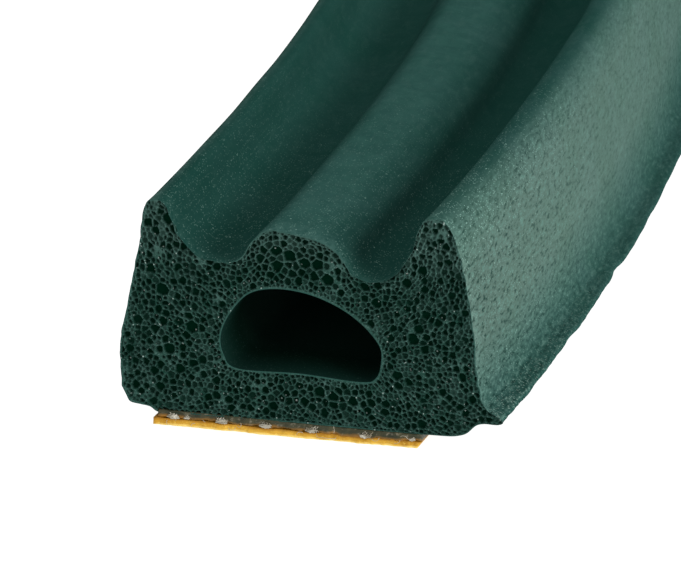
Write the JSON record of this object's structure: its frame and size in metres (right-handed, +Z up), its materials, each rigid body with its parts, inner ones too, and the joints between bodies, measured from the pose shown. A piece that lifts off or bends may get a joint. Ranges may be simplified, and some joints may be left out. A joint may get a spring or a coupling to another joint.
{
  "type": "roll of seal strip",
  "caption": "Flat coil of self-adhesive ribbed foam rubber seal strip with an air chamber, its free end laid out on the floor.",
  "frame": {"origin": "centre of the whole roll's bounding box, on the floor it lies on", "axes": "+Z up out of the floor and along the coil's axis; the free end points along -Y at the +X side, and its adhesive face lies on the floor"},
  "size_m": [0.258, 0.22, 0.01],
  "materials": {
    "foam_rubber": "matt cellular rubber with a smooth talc-dusted skin",
    "adhesive": "translucent tacky film with threads in it",
    "liner_paper": "golden yellow siliconised paper"
  },
  "bodies": {
    "root": {"foam_profile": "foam_rubber", "adhesive_tape": "adhesive", "release_liner": "liner_paper"}
  },
  "joints": []
}
